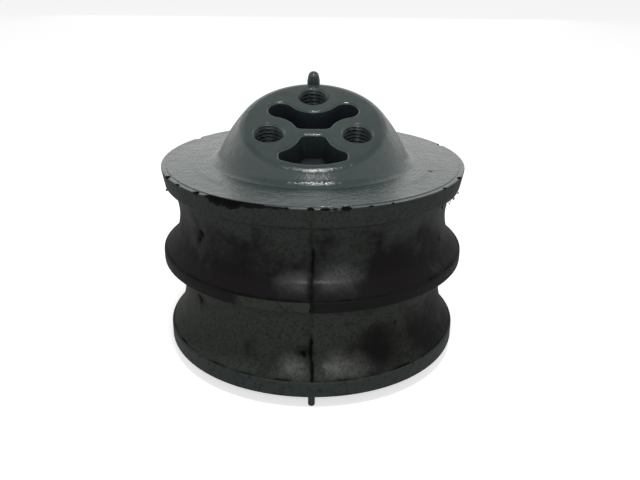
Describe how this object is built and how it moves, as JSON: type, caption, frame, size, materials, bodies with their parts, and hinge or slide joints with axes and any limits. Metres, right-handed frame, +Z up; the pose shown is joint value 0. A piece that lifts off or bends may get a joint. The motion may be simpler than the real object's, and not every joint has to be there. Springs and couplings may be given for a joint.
{
  "type": "engine mount",
  "caption": "Round rubber-to-metal engine mount with a domed cast hub, a leaning bolting face with tapped holes, and two rubber springs between plates.",
  "frame": {"origin": "centre of the base plate's underside", "axes": "+Z up the axis of the mount, towards the hub; the bolting face leans down towards -Y, and the locating pin is on that side"},
  "size_m": [0.146, 0.146, 0.1314],
  "materials": {
    "painted_casting": "satin grey-green paint over cast iron",
    "rubber": "matte black rubber with grey overspray",
    "painted_plate": "thin dark paint over steel",
    "pin_steel": "black steel"
  },
  "bodies": {
    "root": {"hub_casting": "painted_casting", "upper_rubber": "rubber", "middle_plate": "painted_plate", "lower_rubber": "rubber", "base_plate": "painted_plate", "locating_pin": "pin_steel"}
  },
  "joints": []
}
